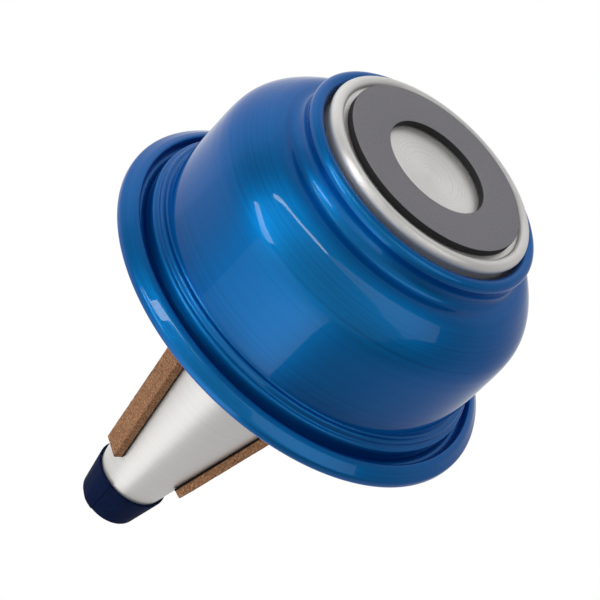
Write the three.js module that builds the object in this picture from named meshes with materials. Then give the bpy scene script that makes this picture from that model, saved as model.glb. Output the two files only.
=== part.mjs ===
// Adjustable cup mute for a trumpet, standing on its base pad.
// Millimetres, +Z up along the axis, from the base pad to the narrow tip.
// The origin is the centre of the pad's lower face.
import * as THREE from 'three';

// ---- driving dimensions ----
const SEGMENTS = 64;            // facets round every turned piece
const FIT_GAP = 0.3;            // clearance between pieces that touch

const PAD_OUTER_R = 27.1;
const PAD_INNER_R = 15.0;
const PAD_THICKNESS = 2.0;

const SHEET = 1.0;              // spun sheet, body and cup
const PLATE_THICKNESS = 0.8;
const PLATE_DISH = 0.6;         // how far the plate's middle is pushed in
const PLATE_R = 29.6;

const BEAD_RING_R = 30.05;      // the body's rolled base bead: ring radius,
const BEAD_R = 1.8;             // the roll's own radius and its height
const BEAD_Z = 2.7;

const BARREL_R = 31.0;          // straight stretch that the cup slides on
const BARREL_TOP_Z = 27.4;
const TIP_R = 8.15;             // cone's outer radius at its open end
const TIP_Z = 152.3;

const SLEEVE_THICKNESS = 0.65;
const SLEEVE_BOTTOM_Z = 139.8;
const SLEEVE_TOP_Z = 153.0;

const CORK_COUNT = 3;
const CORK_FIRST_ANGLE = Math.PI / 2;
const CORK_WIDTH = 7.4;
const CORK_THICKNESS = 2.5;
const CORK_BOTTOM_Z = 76;
const CORK_TOP_Z = 129.3;

// The cup's profile follows the middle of its sheet: [radius, height] points.
const LIP_RING_R = 34.3;        // rolled neck lip
const LIP_R = 1.2;
const LIP_Z = 5.6;
const NECK_LINE = [[35.4, 6.4], [34.75, 7.4], [34.7, 8.6], [36.6, 10.0]];
const BOWL_LINE = [[38.2, 11.6], [43.0, 16.4], [46.4, 20.6], [48.1, 25.5], [48.5, 31], [48.5, 40], [48.5, 48.8]];
const FOOT_LINE = [[50.1, 50.3], [50.4, 51.9], [51.4, 52.5]];
const CHANNEL_LINE = [[51.5, 56.6], [52.3, 57.6], [54.0, 57.6], [54.8, 56.7], [54.8, 55.0]];
const FLANGE_LINE = [[55.4, 54.5], [56.5, 55.2], [57.9, 56.7]];
const RIM_RING_R = 57.2;        // rolled rim
const RIM_R = 1.1;
const RIM_Z = 58.0;

const LINER_BOTTOM_Z = 6.8;
const LINER_TOP_Z = 12.8;
const LINER_OUTER_R = 33.6;

// ---- colours ----
const ALUMINIUM = { color: 0xd8d6d2, metalness: 1.0, roughness: 0.35 };
const LACQUER = { color: 0x0557a6, metalness: 0.7, roughness: 0.15 };
const FOAM_RUBBER = { color: 0x57565a, metalness: 0.0, roughness: 0.9 };
const CORK = { color: 0xa87450, metalness: 0.0, roughness: 0.95 };
const BAND_RUBBER = { color: 0x06173f, metalness: 0.0, roughness: 0.5 };
const FELT = { color: 0x16203a, metalness: 0.0, roughness: 1.0 };

// ---- helpers ----
const point = (r, z) => new THREE.Vector2(r, z);

// Points on an arc about (r, z), from one angle to another, in degrees.
function arc(r, z, radius, fromDeg, toDeg, steps) {
  const points = [];
  for (let i = 0; i <= steps; i++) {
    const a = THREE.MathUtils.degToRad(fromDeg + ((toDeg - fromDeg) * i) / steps);
    points.push(point(r + radius * Math.cos(a), z + radius * Math.sin(a)));
  }
  return points;
}

// A curve through the given points, sampled evenly enough for a turned profile.
function smooth(points, steps) {
  return new THREE.SplineCurve(points).getPoints(steps);
}

// Gives a sheet's middle line its thickness: one closed outline round it.
function thicken(line, thickness) {
  const left = [];
  const right = [];
  line.forEach((p, i) => {
    const before = line[Math.max(i - 1, 0)];
    const after = line[Math.min(i + 1, line.length - 1)];
    const along = after.clone().sub(before).normalize();
    const across = point(-along.y, along.x).multiplyScalar(thickness / 2);
    left.push(p.clone().add(across));
    right.push(p.clone().sub(across));
  });
  return [...left, ...right.reverse()];
}

// True where a closed outline runs anticlockwise in the (radius, height) plane.
function isAnticlockwise(outline) {
  return THREE.ShapeUtils.area(outline) > 0;
}

// Turns a closed outline, or one that starts and ends on the axis, about +Z.
function turned(outline) {
  const points = isAnticlockwise(outline) ? outline : [...outline].reverse();
  const onAxis = points.some((p) => p.x === 0);
  const profile = onAxis ? startOnAxis(points) : [...points, points[0].clone()];
  const geometry = new THREE.LatheGeometry(profile, SEGMENTS);
  geometry.rotateX(Math.PI / 2);
  return geometry;
}

// Rotates the order of an outline's points so that both ends are on the axis.
function startOnAxis(points) {
  const n = points.length;
  const first = points.findIndex((p, i) => p.x === 0 && points[(i + n - 1) % n].x === 0);
  return points.map((p, i) => points[(first + i) % n]);
}

function ring(innerR, outerR, bottomZ, topZ) {
  return turned([point(innerR, bottomZ), point(outerR, bottomZ), point(outerR, topZ), point(innerR, topZ)]);
}

function piece(name, geometry, look) {
  const mesh = new THREE.Mesh(geometry, new THREE.MeshStandardMaterial(look));
  mesh.name = name;
  return mesh;
}

// Cone's outer radius at a height above the barrel.
const CONE_SLOPE = (BARREL_R - TIP_R) / (TIP_Z - BARREL_TOP_Z);
const coneRadius = (z) => BARREL_R - CONE_SLOPE * (z - BARREL_TOP_Z);

// ---- mute body ----
// Rubber ring that the mute stands on.
function basePad() {
  return piece('base_pad', ring(PAD_INNER_R, PAD_OUTER_R, 0, PAD_THICKNESS), FOAM_RUBBER);
}

// Slightly dished end plate, held inside the rolled bead.
function basePlate() {
  const low = PAD_THICKNESS + FIT_GAP;
  const high = low + PLATE_THICKNESS;
  const outline = [
    point(0, low + PLATE_DISH),
    point(PAD_INNER_R * 0.6, low + PLATE_DISH * 0.6),
    point(PAD_INNER_R, low),
    point(PLATE_R, low),
    point(PLATE_R, high),
    point(PAD_INNER_R, high),
    point(PAD_INNER_R * 0.6, high + PLATE_DISH * 0.6),
    point(0, high + PLATE_DISH),
  ];
  return piece('base_plate', turned(outline), ALUMINIUM);
}

// One spun sheet: bead rolled over the plate's edge, barrel, then the long cone.
function coneBody() {
  const middle = SHEET / 2;
  const bead = arc(BEAD_RING_R, BEAD_Z, BEAD_R - middle, 232, 360, 6);
  const line = [
    ...bead,
    point(BARREL_R - middle, BEAD_Z + BEAD_R + 1),
    point(BARREL_R - middle, BARREL_TOP_Z - 2),
    point(coneRadius(BARREL_TOP_Z + 2) - middle, BARREL_TOP_Z + 2),
    point(TIP_R - middle, TIP_Z),
  ];
  return piece('cone_body', turned(thicken(line, SHEET)), ALUMINIUM);
}

// Dark band stretched over the open tip, turned in a little over its edge.
function tipSleeve() {
  const inner = (z) => coneRadius(z) + FIT_GAP;
  const outer = (z) => inner(z) + SLEEVE_THICKNESS;
  const lipZ = TIP_Z + FIT_GAP;
  const outline = [
    point(inner(SLEEVE_BOTTOM_Z), SLEEVE_BOTTOM_Z),
    point(outer(SLEEVE_BOTTOM_Z), SLEEVE_BOTTOM_Z),
    point(outer(SLEEVE_TOP_Z - 1.4), SLEEVE_TOP_Z - 1.4),
    point(outer(SLEEVE_TOP_Z) - 0.5, SLEEVE_TOP_Z - 0.4),
    point(outer(SLEEVE_TOP_Z) - 1.3, SLEEVE_TOP_Z),
    point(TIP_R - SHEET, SLEEVE_TOP_Z),
    point(TIP_R - SHEET, lipZ),
    point(inner(lipZ), lipZ),
  ];
  return piece('tip_sleeve', turned(outline), BAND_RUBBER);
}

// A flat strip laid along the cone, square-ended, its back clear of the cone.
function corkStrip(index) {
  const slant = Math.atan(CONE_SLOPE);
  const length = (CORK_TOP_Z - CORK_BOTTOM_Z) / Math.cos(slant);
  const middleZ = (CORK_TOP_Z + CORK_BOTTOM_Z) / 2;
  const standOff = (FIT_GAP + CORK_THICKNESS / 2) / Math.cos(slant);
  const strip = piece(
    `cork_strip_${index + 1}`,
    new THREE.BoxGeometry(CORK_THICKNESS, CORK_WIDTH, length),
    CORK,
  );
  strip.position.set(coneRadius(middleZ) + standOff, 0, middleZ);
  strip.rotation.y = -slant;
  const holder = new THREE.Group();
  holder.rotation.z = CORK_FIRST_ANGLE + (index * 2 * Math.PI) / CORK_COUNT;
  holder.add(strip);
  return holder;
}

// ---- cup ----
// Middle line of the spun cup, from inside the neck lip to inside the rim roll.
function cupLine() {
  const lip = arc(LIP_RING_R, LIP_Z, LIP_R, 180, 355, 5);
  const neckAndBowl = smooth([...NECK_LINE, ...BOWL_LINE].map(([r, z]) => point(r, z)), 13);
  const edge = [...FOOT_LINE, ...CHANNEL_LINE, ...FLANGE_LINE].map(([r, z]) => point(r, z));
  const rim = arc(RIM_RING_R, RIM_Z, RIM_R, -30, 150, 5);
  return [...lip, ...neckAndBowl, ...edge, ...rim];
}

function cupShell() {
  return piece('cup_shell', turned(thicken(cupLine(), SHEET)), LACQUER);
}

// Felt ring glued in the neck, which grips the barrel.
function neckLiner() {
  return piece('neck_liner', ring(BARREL_R + FIT_GAP, LINER_OUTER_R, LINER_BOTTOM_Z, LINER_TOP_Z), FELT);
}

const mute = new THREE.Group();
mute.add(basePad(), basePlate(), coneBody(), tipSleeve());
for (let index = 0; index < CORK_COUNT; index++) {
  mute.add(corkStrip(index));
}
mute.add(cupShell(), neckLiner());

export default mute;
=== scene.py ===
"""Looks for an adjustable trumpet cup mute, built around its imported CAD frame. Metres, +Z up the axis."""

import math

import bmesh
import bpy
from mathutils import Euler, Matrix, Vector, noise


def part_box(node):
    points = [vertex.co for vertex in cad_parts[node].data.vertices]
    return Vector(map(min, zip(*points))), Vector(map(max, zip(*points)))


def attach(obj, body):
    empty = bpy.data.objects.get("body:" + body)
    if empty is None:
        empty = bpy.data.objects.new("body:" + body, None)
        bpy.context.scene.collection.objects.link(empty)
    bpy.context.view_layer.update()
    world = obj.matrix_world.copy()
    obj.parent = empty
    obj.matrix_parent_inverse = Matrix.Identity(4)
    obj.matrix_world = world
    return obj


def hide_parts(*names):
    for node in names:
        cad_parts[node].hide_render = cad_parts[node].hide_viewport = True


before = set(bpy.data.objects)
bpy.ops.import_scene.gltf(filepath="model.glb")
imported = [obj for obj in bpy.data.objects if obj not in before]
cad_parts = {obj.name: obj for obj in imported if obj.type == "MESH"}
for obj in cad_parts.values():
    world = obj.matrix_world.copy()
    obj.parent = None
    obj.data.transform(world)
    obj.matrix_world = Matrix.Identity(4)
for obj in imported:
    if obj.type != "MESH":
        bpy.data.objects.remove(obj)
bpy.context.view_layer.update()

MM = 0.001

# ---- driving dimensions, in millimetres ----
PAD_INNER_R = 15.0
PAD_OUTER_R = 27.1
PAD_THICKNESS = 2.0
PLATE_R = 29.6
PLATE_LOW_Z = 2.3
PLATE_THICKNESS = 0.8
PLATE_DISH = 0.6
SHEET = 1.0
VISIBLE_SHEET = 0.9
BEAD_RING_R = 30.05
BEAD_R = 1.8
BEAD_Z = 2.7
BARREL_R = 31.0
BARREL_TOP_Z = 27.4
TIP_R = 8.15
TIP_Z = 152.3
SLEEVE_GAP = 0.12
SLEEVE_THICKNESS = 0.85
SLEEVE_BOTTOM_Z = 139.8
SLEEVE_TOP_Z = 153.0
CORK_ANGLES = (90, 210, 330)
CORK_WIDTH = 7.4
CORK_THICKNESS = 3.1
CORK_STAND_OFF = -0.3  # sunk into the cone, so the near-black band of painted shade at the strip's back closes the gap
CORK_EDGE = 0.22
# painted shade: the back share of each cork strip is coloured near black for the shadow in the gap between cork
# and cone
PAINTED_SHADE_SHARE = 0.1  # of the strip's thickness, at its back
PAINTED_SHADE_COLOR = (0.012, 0.008, 0.006, 1.0)
CORK_BOTTOM_Z = 70.0
CORK_TOP_Z = 129.3
BOWL_R = 49.05
RIM_OUTER_R = 58.8
RIM_ROLL_R = 1.6
RIM_ROLL_Z = 58.0
LIP_RING_R = 34.05
LIP_R = 1.9
LIP_Z = 5.7

# the cup's outer face: (radius, height) points, then (radius, height, fillet radius) corners
NECK_POINTS = ((35.95, 6.2), (35.45, 7.2), (35.05, 8.2), (34.98, 9.2), (35.1, 10.2), (35.45, 11.2), (36.05, 12.1))
BOWL_POINTS = (
    (36.6, 12.35),
    (38.3, 12.7),
    (39.9, 13.3),
    (41.6, 14.4),
    (43.5, 16.15),
    (45.2, 18.0),
    (46.7, 20.0),
    (47.8, 22.0),
    (48.5, 24.0),
    (48.9, 26.5),
    (49.05, 30.0),
    (49.05, 48.5),
)
RIM_CORNERS = (
    (BOWL_R, 48.6, 0),
    (BOWL_R, 49.9, 0.35),
    (50.7, 49.9, 0.55),
    (50.75, 51.6, 0.3),
    (51.95, 51.75, 0.6),
    (51.95, 57.2, 1.1),
    (54.3, 57.2, 1.1),
    (54.3, 53.6, 0.7),
    (56.4, 54.6, 1.2),
    (RIM_OUTER_R, 56.8, 1.0),
    (RIM_OUTER_R, 57.9, 0),
)

TURN_SEGMENTS = 256
OUTLINE_SPACING = 0.15
CONE_SLOPE = (BARREL_R - TIP_R) / (TIP_Z - BARREL_TOP_Z)

# ---- camera, at the photograph's viewing angle ----
CAMERA_AZIMUTH = 19.0
CAMERA_ELEVATION = -32.711
CAMERA_ROLL = -135.313
CAMERA_DISTANCE = 0.62303
CAMERA_TARGET = (0.000955, 0.000329, 0.057855)
CAMERA_LENS = 139.79

# ---- light tent: directions in degrees right of and below the camera, seen from the object ----
TENT_FRONT = 0.25
TENT_BACK = 0.75
TENT_DIM = 0.6
SHEET_EDGE_NORMAL = (-0.277, 0.754, -0.596)
SHEET_EDGE_AT = 0.75
SHEET_EXTRA = 0.15
FLOOR_GAP = 0.0001
WINDOW_GLOW = 0.45
CARDS = (
    (
        "window",
        (
            (-35, -42, WINDOW_GLOW),
            (-14, -52, WINDOW_GLOW),
            (12, -16, WINDOW_GLOW),
            (47, 24, WINDOW_GLOW),
            (16, 47, WINDOW_GLOW),
            (-17, 44, WINDOW_GLOW),
            (-29, 31, WINDOW_GLOW),
            (-34, -5, WINDOW_GLOW),
        ),
    ),
    (
        "left_bar",
        (
            (-42, -43, 11),
            (-38, -42, 11),
            (-37, -36, 11),
            (-38, -11, 11),
            (-45, -10, 7),
            (-50, -15, 4),
            (-49, -27, 7),
        ),
    ),
    (
        "low_panel",
        (
            (-60, -7, 0.75),
            (-34, -4, 0.9),
            (-30, 32, 0.9),
            (-17, 45, 1.0),
            (-46, 68, 2.4),
            (-88, 50, 1.3),
            (-80, 10, 0.8),
        ),
    ),
    (
        "right_bar",
        (
            (-15, -55, 15),
            (-8, -52, 15),
            (16, -27, 15),
            (13, -19, 15),
            (-4, -35, 15),
            (-14, -48, 15),
        ),
    ),
    (
        "right_panel",
        (
            (16, -26, 2.2),
            (32, -19, 2.0),
            (74, 4, 1.4),
            (68, 22, 1.4),
            (48, 25, 1.2),
            (13, -16, 1.8),
        ),
    ),
)


def cone_radius(z):
    return BARREL_R - CONE_SLOPE * (z - BARREL_TOP_Z)


# ---- outlines: lists of (radius, height) in millimetres ----
def filleted(corners, steps=10):
    """Points along straight lines whose corners, given as (r, z, fillet radius), are rounded by arcs."""
    points = [Vector(corners[0][:2])]
    for before, corner, after in zip(corners, corners[1:], corners[2:]):
        at = Vector(corner[:2])
        back = (Vector(before[:2]) - at).normalized()
        ahead = (Vector(after[:2]) - at).normalized()
        radius = corner[2]
        if radius == 0:
            points.append(at)
            continue
        half = back.angle(ahead) / 2
        run = radius / math.tan(half)
        centre = at + (back + ahead).normalized() * (radius / math.sin(half))
        start = at + back * run - centre
        sweep = start.angle_signed(at + ahead * run - centre)
        for i in range(steps + 1):
            turn = Matrix.Rotation(-sweep * i / steps, 2)
            points.append(centre + turn @ start)
    points.append(Vector(corners[-1][:2]))
    return points


def arc(r, z, radius, start, stop, steps=16):
    """Points on an arc about (r, z), between two angles in degrees from +r towards +z."""
    angles = [math.radians(start + (stop - start) * i / steps) for i in range(steps + 1)]
    return [Vector((r + radius * math.cos(a), z + radius * math.sin(a))) for a in angles]


def evened(points, spacing):
    """The same line with points at an even spacing."""
    lengths = [0.0]
    for a, b in zip(points, points[1:]):
        lengths.append(lengths[-1] + (b - a).length)
    count = max(2, round(lengths[-1] / spacing))
    result, k = [], 0
    for i in range(count + 1):
        want = lengths[-1] * i / count
        while k < len(lengths) - 2 and lengths[k + 1] < want:
            k += 1
        step = lengths[k + 1] - lengths[k]
        share = (want - lengths[k]) / step if step > 0 else 0
        result.append(points[k].lerp(points[k + 1], share))
    return result


def relaxed(points, rounds):
    """The same line with its curvature evened out, ends kept."""
    for _ in range(rounds):
        middle = [(a + b * 2 + c) / 4 for a, b, c in zip(points, points[1:], points[2:])]
        points = [points[0], *middle, points[-1]]
    return points


def sheet_outline(outer, thickness, side=1):
    """A closed outline: the outer line, and the same line set back by the sheet's thickness."""
    inner = []
    last = len(outer) - 1
    for i, p in enumerate(outer):
        along = (outer[min(i + 1, last)] - outer[max(i - 1, 0)]).normalized()
        across = Vector((-along.y, along.x)) * side
        inner.append(p + across * thickness)
    return outer + inner[::-1]


# ---- meshes ----
def turned(name, outline, segments=TURN_SEGMENTS, warp=None):
    """A closed outline turned about +Z. warp(r, z, angle) may move a point and returns (r, z)."""
    bm = bmesh.new()
    rings = []
    for p in outline:
        if p.x < 1e-6:
            rings.append([bm.verts.new((0, 0, p.y * MM))])
            continue
        ring = []
        for i in range(segments):
            a = 2 * math.pi * i / segments
            r, z = warp(p.x, p.y, a) if warp else (p.x, p.y)
            ring.append(bm.verts.new((r * math.cos(a) * MM, r * math.sin(a) * MM, z * MM)))
        rings.append(ring)
    for one, two in zip(rings, rings[1:] + rings[:1]):
        if len(one) == 1 and len(two) == 1:
            continue
        for i in range(segments):
            j = (i + 1) % segments
            if len(one) == 1:
                bm.faces.new((one[0], two[j], two[i]))
            elif len(two) == 1:
                bm.faces.new((one[i], one[j], two[0]))
            else:
                bm.faces.new((one[i], one[j], two[j], two[i]))
    return finished(name, bm)


def finished(name, bm, sharp=35):
    bmesh.ops.recalc_face_normals(bm, faces=bm.faces)
    mesh = bpy.data.meshes.new(name)
    bm.to_mesh(mesh)
    bm.free()
    mesh.shade_smooth()
    mesh.set_sharp_from_angle(angle=math.radians(sharp))
    piece = bpy.data.objects.new(name, mesh)
    bpy.context.scene.collection.objects.link(piece)
    return piece


def settle(piece, node, body, slot, *materials):
    for material in materials:
        piece.data.materials.append(material)
    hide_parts(node)
    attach(piece, body)


# ---- material helpers ----
def new_material(name):
    material = bpy.data.materials.new(name)
    material.use_nodes = True
    tree = material.node_tree
    return material, tree, tree.nodes["Principled BSDF"]


def node(tree, kind, **settings):
    made = tree.nodes.new(kind)
    for key, value in settings.items():
        if key in made.inputs:
            made.inputs[key].default_value = value
        else:
            setattr(made, key, value)
    return made


def ramp(tree, source, stops):
    made = tree.nodes.new("ShaderNodeValToRGB")
    elements = made.color_ramp.elements
    while len(elements) < len(stops):
        elements.new(0.5)
    for element, (place, color) in zip(elements, stops):
        element.position = place
        element.color = (*color, 1.0)
    tree.links.new(source, made.inputs["Fac"])
    return made.outputs["Color"]


def mapped(tree, scale):
    """Object coordinates scaled per axis."""
    coordinates = tree.nodes.new("ShaderNodeTexCoord")
    mapping = node(tree, "ShaderNodeMapping")
    mapping.inputs["Scale"].default_value = scale
    tree.links.new(coordinates.outputs["Object"], mapping.inputs["Vector"])
    return mapping.outputs["Vector"]


def radial_position(tree):
    """(distance from the axis, height) of the shaded point, in millimetres, as a vector."""
    coordinates = tree.nodes.new("ShaderNodeTexCoord")
    split = tree.nodes.new("ShaderNodeSeparateXYZ")
    tree.links.new(coordinates.outputs["Object"], split.inputs[0])
    flat = tree.nodes.new("ShaderNodeCombineXYZ")
    tree.links.new(split.outputs["X"], flat.inputs["X"])
    tree.links.new(split.outputs["Y"], flat.inputs["Y"])
    length = node(tree, "ShaderNodeVectorMath", operation="LENGTH")
    tree.links.new(flat.outputs[0], length.inputs[0])
    joined = tree.nodes.new("ShaderNodeCombineXYZ")
    tree.links.new(length.outputs["Value"], joined.inputs["X"])
    tree.links.new(split.outputs["Z"], joined.inputs["Y"])
    scaled = node(tree, "ShaderNodeVectorMath", operation="SCALE")
    scaled.inputs["Scale"].default_value = 1 / MM
    tree.links.new(joined.outputs[0], scaled.inputs[0])
    return scaled.outputs["Vector"]


def turning_lines(tree, lines_per_mm, detail=3):
    """Noise that runs in rings round the axis, as a cutting or spinning tool leaves."""
    rings = node(tree, "ShaderNodeTexNoise", Scale=lines_per_mm, Detail=detail, Roughness=0.7)
    tree.links.new(radial_position(tree), rings.inputs["Vector"])
    return rings.outputs["Fac"]


def noise_at(tree, vector, scale, detail=2, roughness=0.5):
    made = node(tree, "ShaderNodeTexNoise", Scale=scale, Detail=detail, Roughness=roughness)
    tree.links.new(vector, made.inputs["Vector"])
    return made.outputs["Fac"]


def ranged(tree, source, low, high, start=0.0, stop=1.0):
    made = node(tree, "ShaderNodeMapRange")
    made.inputs["From Min"].default_value = start
    made.inputs["From Max"].default_value = stop
    made.inputs["To Min"].default_value = low
    made.inputs["To Max"].default_value = high
    tree.links.new(source, made.inputs["Value"])
    return made.outputs["Result"]


def bumped(tree, shader, height, strength, distance):
    bump = node(tree, "ShaderNodeBump", Strength=strength, Distance=distance)
    tree.links.new(height, bump.inputs["Height"])
    tree.links.new(bump.outputs["Normal"], shader.inputs["Normal"])
    return bump


def brush_direction(tree, shader):
    tangent = node(tree, "ShaderNodeTangent", direction_type="RADIAL", axis="Z")
    tree.links.new(tangent.outputs["Tangent"], shader.inputs["Tangent"])
    shader.inputs["Anisotropic Rotation"].default_value = 0.25


# ---- materials ----
def blue_lacquer():
    material, tree, shader = new_material("blue_lacquer")
    shader.inputs["Metallic"].default_value = 1.0
    shader.inputs["Anisotropic"].default_value = 0.6
    shader.inputs["Coat Weight"].default_value = 1.0
    shader.inputs["Coat Roughness"].default_value = 0.015
    shader.inputs["Coat Tint"].default_value = (0.01, 0.34, 0.69, 1.0)
    shader.inputs["Coat IOR"].default_value = 1.26
    brush_direction(tree, shader)
    lines = turning_lines(tree, 1.2)
    color = ramp(tree, lines, [(0.32, (0.025, 0.47, 0.64)), (0.68, (0.045, 0.61, 0.79))])
    tree.links.new(color, shader.inputs["Base Color"])
    tree.links.new(ranged(tree, lines, 0.42, 0.52, 0.3, 0.7), shader.inputs["Roughness"])
    return material


def satin_aluminium(name, lines_per_mm, roughness, bump):
    material, tree, shader = new_material(name)
    shader.inputs["Metallic"].default_value = 0.72
    shader.inputs["Anisotropic"].default_value = 0.7
    brush_direction(tree, shader)
    lines = turning_lines(tree, lines_per_mm)
    color = ramp(tree, lines, [(0.3, (0.81, 0.795, 0.77)), (0.7, (0.92, 0.91, 0.89))])
    tree.links.new(color, shader.inputs["Base Color"])
    low, high = roughness
    tree.links.new(ranged(tree, lines, low, high, 0.3, 0.7), shader.inputs["Roughness"])
    bumped(tree, shader, lines, bump, 0.02 * MM)
    return material


def foam_rubber(name, dark, light, speck):
    material, tree, shader = new_material(name)
    shader.inputs["Roughness"].default_value = 0.85
    cells = mapped(tree, (1 / MM, 1 / MM, 1 / MM))
    fine = noise_at(tree, cells, 2.2, detail=6, roughness=0.75)
    color = ramp(tree, fine, [(0.32, dark), (0.62, light), (0.78, speck)])
    tree.links.new(color, shader.inputs["Base Color"])
    bumped(tree, shader, fine, 0.35, 0.12 * MM)
    return material


def pressed_cork():
    material, tree, shader = new_material("pressed_cork")
    shader.inputs["Roughness"].default_value = 0.9
    shader.inputs["Specular IOR Level"].default_value = 0.2
    grain_space = mapped(tree, (1 / MM, 1 / MM, 1 / MM))
    grains = node(tree, "ShaderNodeTexVoronoi", Scale=3.2, Randomness=1.0)
    tree.links.new(grain_space, grains.inputs["Vector"])
    tone = node(tree, "ShaderNodeSeparateColor")
    tree.links.new(grains.outputs["Color"], tone.inputs[0])
    color = ramp(
        tree,
        tone.outputs["Red"],
        [
            (0.0, (0.12, 0.045, 0.019)),
            (0.15, (0.27, 0.122, 0.06)),
            (0.5, (0.335, 0.165, 0.084)),
            (0.85, (0.41, 0.215, 0.108)),
            (0.97, (0.56, 0.33, 0.18)),
        ],
    )
    # Painted shade: where the strip's back is marked, the colour goes near black for the shadow in the gap
    # between cork and cone.
    painted_shade = node(tree, "ShaderNodeAttribute")
    painted_shade.attribute_name = "painted_shade"
    shade_mixed = node(tree, "ShaderNodeMix")
    shade_mixed.data_type = "RGBA"
    tree.links.new(ranged(tree, painted_shade.outputs["Fac"], 0.0, 1.0, 0.2, 0.3), shade_mixed.inputs["Factor"])
    tree.links.new(color, shade_mixed.inputs[6])
    shade_mixed.inputs[7].default_value = PAINTED_SHADE_COLOR
    tree.links.new(shade_mixed.outputs[2], shader.inputs["Base Color"])
    bumped(tree, shader, grains.outputs["Distance"], 0.5, 0.15 * MM)
    return material


def band_rubber():
    material, tree, shader = new_material("band_rubber")
    shader.inputs["Specular IOR Level"].default_value = 0.03
    space = mapped(tree, (1 / MM, 1 / MM, 1 / MM))
    mottle = noise_at(tree, space, 0.6, detail=5, roughness=0.65)
    color = ramp(tree, mottle, [(0.3, (0.002, 0.006, 0.03)), (0.7, (0.004, 0.014, 0.062))])
    tree.links.new(color, shader.inputs["Base Color"])
    tree.links.new(ranged(tree, mottle, 0.5, 0.65, 0.3, 0.7), shader.inputs["Roughness"])
    bumped(tree, shader, noise_at(tree, space, 4.0, detail=3), 0.15, 0.05 * MM)
    return material


def pressed_felt():
    material, tree, shader = new_material("pressed_felt")
    shader.inputs["Roughness"].default_value = 1.0
    shader.inputs["Sheen Weight"].default_value = 0.3
    shader.inputs["Sheen Roughness"].default_value = 0.6
    fibres = mapped(tree, (1 / MM, 1 / MM, 3 / MM))
    fuzz = noise_at(tree, fibres, 3.0, detail=8, roughness=0.8)
    color = ramp(tree, fuzz, [(0.3, (0.004, 0.01, 0.03)), (0.75, (0.012, 0.028, 0.08))])
    tree.links.new(color, shader.inputs["Base Color"])
    bumped(tree, shader, fuzz, 0.8, 0.2 * MM)
    return material


# ---- pieces ----
def cup_outer_line():
    """The cup's outer face, from inside the neck lip to inside the rim's roll."""
    lip = arc(LIP_RING_R, LIP_Z, LIP_R, 180, 350, 20)
    bowl = relaxed(evened([Vector(p) for p in NECK_POINTS + BOWL_POINTS], OUTLINE_SPACING), 30)
    rim = filleted(RIM_CORNERS)
    roll = arc(RIM_OUTER_R - RIM_ROLL_R, RIM_ROLL_Z, RIM_ROLL_R, 0, 120, 16)
    line = evened(lip + bowl + rim + roll[1:], OUTLINE_SPACING)
    return relaxed(line, 5)


def make_cup():
    outline = sheet_outline(cup_outer_line(), VISIBLE_SHEET)
    cup = turned("cup", outline)
    settle(cup, "cup_shell", "cup", "blue_lacquer", blue_lacquer())


def make_body():
    bead = arc(BEAD_RING_R, BEAD_Z, BEAD_R, 205, 372, 30)
    wall = filleted(
        [
            (BEAD_RING_R + BEAD_R * 0.978, BEAD_Z + BEAD_R * 0.208, 0),
            (BARREL_R, BEAD_Z + BEAD_R + 0.6, 0.8),
            (BARREL_R, BARREL_TOP_Z, 25.0),
            (TIP_R, TIP_Z, 0),
        ]
    )
    outline = sheet_outline(evened(bead + wall[1:], 0.4), VISIBLE_SHEET)
    body = turned("spun_body", outline)
    aluminium = satin_aluminium("spun_aluminium", 4.0, (0.38, 0.5), 0.2)
    settle(body, "cone_body", "mute_body", "spun_aluminium", aluminium)


def make_plate():
    top = PLATE_LOW_Z + PLATE_THICKNESS
    face = [
        Vector((r, PLATE_LOW_Z + PLATE_DISH * max(0.0, 1 - (r / PAD_INNER_R) ** 2)))
        for r in [PAD_INNER_R * i / 24 for i in range(25)]
    ]
    edge = filleted(
        [(PAD_INNER_R, PLATE_LOW_Z, 0), (PLATE_R, PLATE_LOW_Z, 0.2), (PLATE_R, top, 0.2), (PAD_INNER_R, top, 0)]
    )
    back = [Vector((p.x, p.y + PLATE_THICKNESS)) for p in reversed(face)]
    plate = turned("end_plate", face + edge[1:] + back[1:])
    aluminium = satin_aluminium("turned_aluminium", 6.0, (0.26, 0.38), 0.3)
    settle(plate, "base_plate", "mute_body", "turned_aluminium", aluminium)


def make_pad():
    corner = 0.25
    outline = filleted(
        [
            (PAD_INNER_R, PAD_THICKNESS / 2, 0),
            (PAD_INNER_R, 0, corner),
            (PAD_OUTER_R, 0, corner),
            (PAD_OUTER_R, PAD_THICKNESS, corner / 2),
            (PAD_INNER_R, PAD_THICKNESS, corner / 2),
            (PAD_INNER_R, PAD_THICKNESS / 2, 0),
        ],
        5,
    )[:-1]
    pad = turned("foot_pad", outline)
    # The side faces get a near-black copy of the foam: partly a darker cut edge, partly painted shade where the
    # side stands in shadow.
    face = foam_rubber("foam_rubber_face", (0.18, 0.175, 0.193), (0.271, 0.262, 0.287), (0.369, 0.361, 0.385))
    side = foam_rubber("foam_rubber_side_dark_cut_and_painted_shade", (0.006, 0.006, 0.007), (0.016, 0.015, 0.016), (0.05, 0.048, 0.05))
    settle(pad, "base_pad", "mute_body", "pad_rubber", face, side)
    # faces that point up or down take the face colour, the others take the near-black copy with its painted shade
    for polygon in pad.data.polygons:
        polygon.material_index = 0 if abs(polygon.normal.z) > 0.8 else 1


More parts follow.
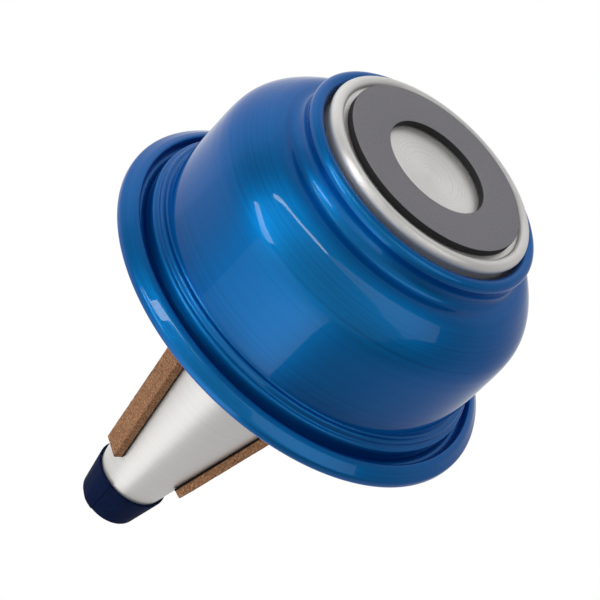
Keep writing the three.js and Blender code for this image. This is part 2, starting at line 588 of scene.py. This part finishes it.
def make_sleeve():
    inner_low = cone_radius(SLEEVE_BOTTOM_Z) + SLEEVE_GAP
    inner_top = cone_radius(TIP_Z) + SLEEVE_GAP
    outer_low = inner_low + SLEEVE_THICKNESS
    outer_top = cone_radius(SLEEVE_TOP_Z) + SLEEVE_GAP + SLEEVE_THICKNESS
    mouth_r = TIP_R - SHEET
    outline = evened(
        filleted(
            [
                (inner_low, SLEEVE_BOTTOM_Z + 1, 0),
                (inner_low + CONE_SLOPE, SLEEVE_BOTTOM_Z, 0.1),
                (outer_low, SLEEVE_BOTTOM_Z, 0.3),
                (outer_top, SLEEVE_TOP_Z, 1.5),
                (mouth_r, SLEEVE_TOP_Z, 0.4),
                (mouth_r, TIP_Z + 0.3, 0.05),
                (inner_top, TIP_Z + 0.3, 0.05),
                (inner_low, SLEEVE_BOTTOM_Z + 1, 0),
            ],
            6,
        )[:-1],
        0.25,
    )
    seam = math.radians(300)
    flap = math.radians(34)
    raise_r = 0.28
    raise_z = 0.35

    def overlap(r, z, angle):
        past = (angle - seam) % (2 * math.pi)
        if past > flap:
            return r, z
        share = 1 - max(0.0, past / flap - 0.6) / 0.4
        outside = r > cone_radius(z) + SLEEVE_GAP + SLEEVE_THICKNESS * 0.5
        low = z < SLEEVE_BOTTOM_Z + 1.0
        return r + (raise_r * share if outside else 0), z - (raise_z * share if low and outside else 0)

    sleeve = turned("tip_band", outline, segments=360, warp=overlap)
    settle(sleeve, "tip_sleeve", "mute_body", "band_rubber", band_rubber())


def make_cork(index, degrees, material):
    slant = math.atan(CONE_SLOPE)
    length = (CORK_TOP_Z - CORK_BOTTOM_Z) / math.cos(slant)
    middle_z = (CORK_TOP_Z + CORK_BOTTOM_Z) / 2
    stand_off = (CORK_STAND_OFF + CORK_THICKNESS / 2) / math.cos(slant)
    bm = bmesh.new()
    bmesh.ops.create_cube(bm, size=1)
    bmesh.ops.scale(bm, vec=(CORK_THICKNESS * MM, CORK_WIDTH * MM, length * MM), verts=bm.verts)
    bmesh.ops.bevel(bm, geom=bm.edges, offset=CORK_EDGE * MM, segments=2, affect="EDGES")
    cuts = [
        (Vector((0, 0, 1)), length, 90),
        (Vector((0, 1, 0)), CORK_WIDTH, 12),
        (Vector((1, 0, 0)), CORK_THICKNESS, 4),
    ]
    for direction, size, count in cuts:
        for i in range(1, count):
            offset = direction * ((i / count - 0.5) * size * MM * 0.98)
            geometry = bm.verts[:] + bm.edges[:] + bm.faces[:]
            bmesh.ops.bisect_plane(bm, geom=geometry, plane_co=offset, plane_no=direction)
    bm.normal_update()
    # mark the back share of the strip's thickness, where the painted shade of the gap against the cone goes
    painted_shade = bm.verts.layers.float.new("painted_shade")
    for vert in bm.verts:
        vert[painted_shade] = 1.0 if vert.co.x < (PAINTED_SHADE_SHARE - 0.5) * CORK_THICKNESS * MM else 0.0
        grain = noise.noise(vert.co / MM * 1.1 + Vector((index * 17.0, 0, 0)))
        vert.co += vert.normal * (grain * 0.09 - 0.05) * MM
    cork = finished(f"cork_{index + 1}", bm, sharp=60)
    tilt = Euler((0, -slant, 0)).to_matrix().to_4x4()
    out = Matrix.Translation((((cone_radius(middle_z) + stand_off) * MM), 0, middle_z * MM))
    around = Matrix.Rotation(math.radians(degrees), 4, "Z")
    cork.data.transform(around @ out @ tilt)
    settle(cork, f"cork_strip_{index + 1}", "mute_body", "cork", material)


def make_liner():
    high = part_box("neck_liner")[1]
    inner = BARREL_R + 0.1
    bottom, top = 7.0, high.z / MM
    outline = evened(
        filleted(
            [
                (inner, bottom + 1, 0),
                (inner, bottom, 0.3),
                (33.5, bottom, 0.3),
                (33.5, top, 0.5),
                (inner, top, 0.5),
                (inner, bottom + 1, 0),
            ]
        )[:-1],
        0.3,
    )

    def fuzz(r, z, angle):
        at = Vector((r * math.cos(angle), r * math.sin(angle), z))
        return r + noise.noise(at * 1.3) * 0.06, z + noise.noise(at * 1.3 + Vector((9, 0, 0))) * 0.08

    liner = turned("neck_felt", outline, warp=fuzz)
    settle(liner, "neck_liner", "cup", "felt", pressed_felt())


# ---- camera, lights, floor ----
def place_camera():
    azimuth = math.radians(CAMERA_AZIMUTH)
    elevation = math.radians(CAMERA_ELEVATION)
    away = Vector(
        (
            math.sin(azimuth) * math.cos(elevation),
            -math.cos(azimuth) * math.cos(elevation),
            math.sin(elevation),
        )
    )
    data = bpy.data.cameras.new("main_camera")
    data.lens = CAMERA_LENS
    data.sensor_width = 36
    data.clip_start = 0.01
    camera = bpy.data.objects.new("main_camera", data)
    upright = away.to_track_quat("Z", "Y")
    camera.rotation_euler = (upright @ Euler((0, 0, math.radians(CAMERA_ROLL))).to_quaternion()).to_euler()
    camera.location = Vector(CAMERA_TARGET) + away * CAMERA_DISTANCE
    bpy.context.scene.collection.objects.link(camera)
    bpy.context.scene.camera = camera
    bpy.context.view_layer.update()
    return camera


def direction_at(camera, right_deg, down_deg):
    """The direction from the object that lies so far right of and below the one to the camera."""
    turn = math.radians(math.hypot(right_deg, down_deg))
    side = Vector((right_deg, -down_deg, 0)).normalized()
    local = Vector((side.x * math.sin(turn), side.y * math.sin(turn), math.cos(turn)))
    return camera.matrix_world.to_3x3() @ local


def card(camera, name, corners, distance=4.0):
    """A flat glowing card, hidden from the camera. Each corner is (right, down, radiance)."""
    centre = Vector(CAMERA_TARGET)
    bm = bmesh.new()
    glow_layer = bm.verts.layers.float.new("glow")
    verts = []
    for right_deg, down_deg, radiance in corners:
        vert = bm.verts.new(centre + direction_at(camera, right_deg, down_deg) * distance)
        vert[glow_layer] = radiance
        verts.append(vert)
    bm.faces.new(verts)
    piece = finished(name, bm)
    material, tree, shader = new_material(name)
    level = node(tree, "ShaderNodeAttribute", attribute_name="glow")
    glow = node(tree, "ShaderNodeEmission")
    tree.links.new(level.outputs["Fac"], glow.inputs["Strength"])
    tree.links.new(glow.outputs[0], tree.nodes["Material Output"].inputs["Surface"])
    piece.data.materials.append(material)
    piece.visible_camera = False


def toward(tree, direction):
    """How far the shaded direction points along the given one, from -1 to 1."""
    coordinates = tree.nodes.new("ShaderNodeTexCoord")
    along = node(tree, "ShaderNodeVectorMath", operation="DOT_PRODUCT")
    along.inputs[1].default_value = direction
    tree.links.new(coordinates.outputs["Generated"], along.inputs[0])
    return along.outputs["Value"]


def light_tent(camera):
    """Plain white for the camera; for the object a tent, brighter at the upper left of the picture."""
    world = bpy.data.worlds.new("light_tent")
    bpy.context.scene.world = world
    world.use_nodes = True
    tree = world.node_tree
    tree.nodes.clear()
    axes = camera.matrix_world.to_3x3()
    depth = ranged(tree, toward(tree, axes @ Vector((0, 0, 1))), TENT_FRONT, TENT_BACK, 0.35, -0.2)
    side = ranged(tree, toward(tree, axes @ Vector((0.85, -0.53, 0))), 1.0, TENT_DIM, 0.1, 0.9)
    fall = node(tree, "ShaderNodeMath", operation="MULTIPLY")
    tree.links.new(depth, fall.inputs[0])
    tree.links.new(side, fall.inputs[1])
    past_edge = toward(tree, axes @ Vector(SHEET_EDGE_NORMAL))
    beyond = ranged(tree, past_edge, 0, SHEET_EXTRA, SHEET_EDGE_AT, SHEET_EDGE_AT + 0.01)
    total = node(tree, "ShaderNodeMath", operation="ADD")
    tree.links.new(fall.outputs[0], total.inputs[0])
    tree.links.new(beyond, total.inputs[1])
    felt = node(tree, "ShaderNodeBackground")
    tree.links.new(total.outputs[0], felt.inputs["Strength"])
    seen = node(tree, "ShaderNodeBackground", Strength=1.0)
    for background in (felt, seen):
        background.inputs["Color"].default_value = (1, 1, 1, 1)
    path = node(tree, "ShaderNodeLightPath")
    mix = node(tree, "ShaderNodeMixShader")
    output = node(tree, "ShaderNodeOutputWorld")
    tree.links.new(path.outputs["Is Camera Ray"], mix.inputs[0])
    tree.links.new(felt.outputs[0], mix.inputs[1])
    tree.links.new(seen.outputs[0], mix.inputs[2])
    tree.links.new(mix.outputs[0], output.inputs["Surface"])


def make_floor():
    """A pale floor under the base, seen from above only."""
    bm = bmesh.new()
    bmesh.ops.create_grid(bm, x_segments=1, y_segments=1, size=6)
    bmesh.ops.translate(bm, vec=(0, 0, -FLOOR_GAP), verts=bm.verts)
    floor = finished("floor", bm)
    material, tree, shader = new_material("floor")
    shader.inputs["Base Color"].default_value = (0.9, 0.9, 0.9, 1)
    shader.inputs["Roughness"].default_value = 0.9
    clear = node(tree, "ShaderNodeBsdfTransparent")
    side = node(tree, "ShaderNodeNewGeometry")
    mix = node(tree, "ShaderNodeMixShader")
    tree.links.new(side.outputs["Backfacing"], mix.inputs[0])
    tree.links.new(shader.outputs[0], mix.inputs[1])
    tree.links.new(clear.outputs[0], mix.inputs[2])
    tree.links.new(mix.outputs[0], tree.nodes["Material Output"].inputs["Surface"])
    floor.data.materials.append(material)
    floor.visible_shadow = False
    floor.visible_glossy = False
    floor.visible_diffuse = False


def light_scene(camera):
    light_tent(camera)
    for name, corners in CARDS:
        card(camera, name, corners)


make_cup()
make_body()
make_plate()
make_pad()
make_sleeve()
cork = pressed_cork()
for index, degrees in enumerate(CORK_ANGLES):
    make_cork(index, degrees, cork)
make_liner()

main_camera = place_camera()
light_scene(main_camera)
make_floor()
bpy.context.scene.view_settings.view_transform = "Standard"
